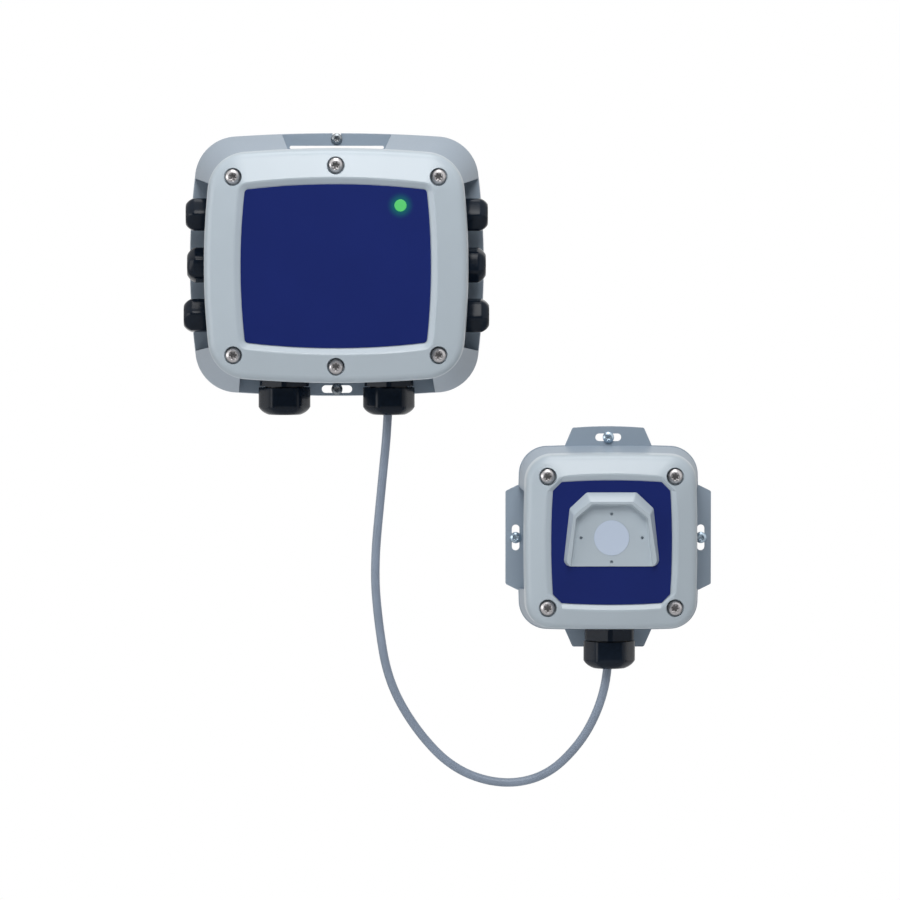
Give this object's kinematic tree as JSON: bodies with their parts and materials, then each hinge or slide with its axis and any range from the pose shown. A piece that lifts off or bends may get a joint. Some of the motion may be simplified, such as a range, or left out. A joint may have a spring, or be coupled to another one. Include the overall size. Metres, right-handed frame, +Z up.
{
  "type": "gas detector",
  "caption": "Wall-mounted gas detector: sealed plastic housing with side and lower cable glands, joined by a hanging cable to a remote sensor head.",
  "frame": {"origin": "middle of the main housing's rear face, on the wall plane", "axes": "+Y out of the back into the wall, so the front faces -Y; +X to the right seen from the front; +Z up"},
  "size_m": [0.3154, 0.102, 0.3913],
  "materials": {
    "housing_plastic": "fine moulded texture, pale blue-grey",
    "label_film": "satin printed film, dark blue, bare",
    "gland_plastic": "smooth nylon, near black",
    "plug_plastic": "moulded, near black",
    "seal_rubber": "soft seal, black",
    "stainless_screws": "stainless steel",
    "zinc_screws": "bright zinc plated steel",
    "light_pipe_plastic": "clear, lit green from behind",
    "lamp_plastic": "lit green",
    "board_laminate": "solder-masked laminate",
    "terminal_plastic": "moulded, green",
    "relay_plastic": "smooth, black",
    "chip_plastic": "moulded, black",
    "radio_shield": "tinned shield",
    "sounder_plastic": "moulded, black",
    "capacitor_can": "drawn can",
    "cell_plastic": "moulded, white",
    "membrane_film": "porous filter disc",
    "cable_jacket": "extruded jacket, mid grey",
    "core_insulation": "thin insulation, white"
  },
  "bodies": {
    "root": {"alarm_relays": "relay_plastic", "alarm_sounder": "sounder_plastic", "cable_gland_insert": "seal_rubber", "lower_gland_bodies": "gland_plastic", "lower_gland_locknuts": "gland_plastic", "lower_gland_nuts": "gland_plastic", "lower_gland_washers": "seal_rubber", "main_base": "housing_plastic", "main_board_screws": "zinc_screws", "main_cable_cores": "core_insulation", "main_circuit_board": "board_laminate", "main_cover": "housing_plastic", "main_cover_screws": "stainless_screws", "main_cover_seal": "seal_rubber", "main_front_label": "label_film", "main_wall_screws": "zinc_screws", "power_terminals": "terminal_plastic", "processor_chip": "chip_plastic", "radio_module": "radio_shield", "relay_terminals": "terminal_plastic", "remote_base": "housing_plastic", "remote_board_screws": "zinc_screws", "remote_cable_cores": "core_insulation", "remote_chip": "chip_plastic", "remote_circuit_board": "board_laminate", "remote_cover": "housing_plastic", "remote_cover_screws": "stainless_screws", "remote_cover_seal": "seal_rubber", "remote_front_label": "label_film", "remote_gland_body": "gland_plastic", "remote_gland_insert": "seal_rubber", "remote_gland_locknut": "gland_plastic", "remote_gland_nut": "gland_plastic", "remote_gland_washer": "seal_rubber", "remote_terminals": "terminal_plastic", "remote_wall_screws": "zinc_screws", "sensor_cable": "cable_jacket", "sensor_cell": "cell_plastic", "sensor_gasket": "seal_rubber", "sensor_membrane": "membrane_film", "sensor_socket": "chip_plastic", "sensor_terminals": "terminal_plastic", "side_gland_bodies": "gland_plastic", "side_gland_inserts": "seal_rubber", "side_gland_locknuts": "gland_plastic", "side_gland_nuts": "gland_plastic", "side_gland_plugs": "plug_plastic", "side_gland_washers": "seal_rubber", "spare_gland_insert": "seal_rubber", "spare_gland_plug": "plug_plastic", "status_lamp": "lamp_plastic", "status_light_pipe": "light_pipe_plastic", "supply_capacitors": "capacitor_can"}
  },
  "joints": []
}
